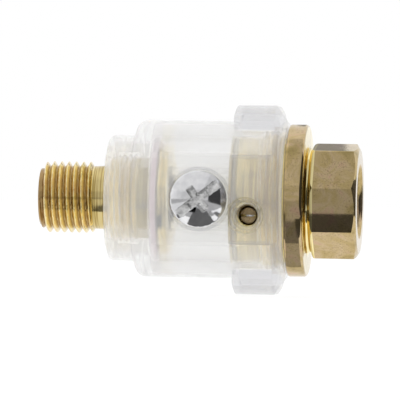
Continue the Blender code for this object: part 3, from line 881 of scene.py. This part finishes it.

# Bands of other brass tones on the boss and the nipple, as brass() takes them. Most are painted light:
# # painted brightness on the brass seen through the milky plastic, a painted gold highlight on the neck
# # before the octagon, and a near-black painted shade patch on the lower part of the nipple's flange
PAINTED_BRIGHT_TONE = (1.0, 0.86, 0.43)
# Painted brightness on the boss seen through the plastic, then a painted gold highlight on the neck
BOSS_PAINTED_LIGHT = [(0.0, 0.0162, PAINTED_BRIGHT_TONE), (0.01972, 0.0213, (0.98, 0.84, 0.44))]
SHANK_TONES_AND_PAINTED_LIGHT = [
    (-0.0295, -0.0282, (0.58, 0.38, 0.26)),
    (-0.0193, -0.0163, (0.68, 0.55, 0.26)),
    # Painted brightness on the shank seen through the bowl's neck
    (-0.0163, -0.0108, PAINTED_BRIGHT_TONE),
    (-0.0108, -0.0078, (0.50, 0.42, 0.16)),
    # Painted brightness on the nipple's inner end, seen through the bowl
    (-0.0078, 0.0, PAINTED_BRIGHT_TONE),
    # Painted shade: a near-black patch on the lower part of the nipple's flange, front and back alike
    (-0.0078, -0.0060, (0.05, 0.035, 0.015), -0.0054, -0.0030),
]
# Painted shade in the nipple thread's roots: end x, root and crest radii in metres, tone
NIPPLE_ROOT_SHADE = (-0.0195, 0.0057, 0.0062, (0.40, 0.27, 0.11))
# The collar's lobes and rim and the lip round the filler screw lie beyond this radius, and look greyer
COLLAR_TINT = (0.0147, (0.67, 0.67, 0.70))

BRASS_INLET = brass("brass_inlet", INLET_TONES, (0.06, 0.14), speckle=0.75, turning=0.12, tone_and_light_bands=BOSS_PAINTED_LIGHT)
BRASS_NIPPLE = brass(
    "brass_nipple", NIPPLE_TONES, (0.08, 0.18), speckle=0.15, tone_and_light_bands=SHANK_TONES_AND_PAINTED_LIGHT, root_shade=NIPPLE_ROOT_SHADE
)
# Painted shade: darker brass for the metering screw, which sits in the shade of its hole
BRASS_PAINTED_SHADE = brass("brass_painted_shade", PAINTED_SHADE_TONES, (0.2, 0.4), speckle=0.6)
# Painted highlight: pale brass for the walls round the metering screw
BRASS_PAINTED_HIGHLIGHT = brass("brass_painted_highlight", PAINTED_HIGHLIGHT_TONES, (0.25, 0.4), speckle=0.2)
BRONZE = brass("sintered_bronze", BRONZE_TONES, (0.45, 0.7), speckle=0.7, turning=0.0)
BOWL_PLASTIC = clear_plastic(
    "bowl_plastic", (0.985, 0.985, 0.986), 0.06, haze=0.40, ior=1.36, solid=0.55, thick=COLLAR_TINT
)
# Painted shade: darker, browner plastic for the access hole's walls
HOLE_PLASTIC_PAINTED_SHADE = clear_plastic("hole_plastic_painted_shade", (0.56, 0.52, 0.40), 0.15, haze=0.5, ior=1.3, solid=0.8)
TUBE_PLASTIC = clear_plastic("tube_plastic", (0.97, 0.97, 0.93), 0.05, ior=1.45)
ZINC_AND_SLOT_HIGHLIGHT = plated("bright_zinc", (0.84, 0.84, 0.85), (0.74, 0.74, 0.76), (0.05, 0.13))
ZINC_RECESS = plated("punched_zinc", (1.0, 1.0, 1.0), (0.60, 0.60, 0.60), (0.05, 0.22), relief=5.0)
STEEL = plated("steel", (0.62, 0.62, 0.64), (0.50, 0.50, 0.52), (0.15, 0.3))
RUBBER = dull_solid("rubber", (0.020, 0.020, 0.020), (0.035, 0.035, 0.034), 0.55)
SILICONE = dull_solid("silicone", (0.66, 0.60, 0.42), (0.76, 0.70, 0.52), 0.4)
NYLON = dull_solid("nylon", (0.80, 0.80, 0.76), (0.88, 0.88, 0.85), 0.35)
FIBRE = dull_solid("fibre", (0.66, 0.52, 0.56), (0.74, 0.60, 0.64), 0.4)
ACETAL = dull_solid("acetal", (0.80, 0.80, 0.78), (0.86, 0.86, 0.84), 0.35)
FELT = dull_solid("felt", (0.58, 0.55, 0.48), (0.72, 0.70, 0.64), 0.95, scale=3000.0, bump=0.6)

stand_for(outlet_nipple(), "bowl", "outlet_nipple", "brass", BRASS_NIPPLE)
stand_for(inlet_body(), "inlet", "inlet_body", "brass", BRASS_INLET, BRASS_PAINTED_HIGHLIGHT)
stand_for(bowl(), "bowl", "bowl", "clear_plastic", BOWL_PLASTIC, HOLE_PLASTIC_PAINTED_SHADE)
stand_for(inner_tube(), "tube", "inner_tube", "tube_plastic", TUBE_PLASTIC)
stand_for(filler_screw(), "filler", "filler_screw", "zinc", ZINC_AND_SLOT_HIGHLIGHT, ZINC_RECESS)
# The metering screw's brass is painted shade, and its slot's floor is a painted highlight
stand_for(metering_screw(), "metering", "metering_screw", "brass", BRASS_PAINTED_SHADE, ZINC_AND_SLOT_HIGHLIGHT)

CARRIED = {
    "oil_jet": BRASS_INLET,
    "ball_retainer": BRASS_INLET,
    "inlet_strainer": BRONZE,
    "bowl_o_ring": SILICONE,
    "tube_o_ring_inlet": RUBBER,
    "tube_o_ring_outlet": RUBBER,
    "venturi_o_ring": RUBBER,
    "metering_o_ring": RUBBER,
    "nipple_gasket": FIBRE,
    "filler_seal": NYLON,
    "venturi_sleeve": ACETAL,
    "oil_wick": FELT,
    "strainer_ring": STEEL,
    "check_ball": STEEL,
}
for node, material in CARRIED.items():
    NODES[node].data.materials.clear()
    NODES[node].data.materials.append(material)
    smooth_to(NODES[node], 35.0)

studio()
floor()
camera()
for flat in FLAT_CARDS:
    flat_card(*flat)
for upright in STANDING_CARDS:
    standing_card(*upright)
front_light()

scene = bpy.context.scene
scene.view_settings.view_transform = "Standard"
scene.view_settings.look = "None"
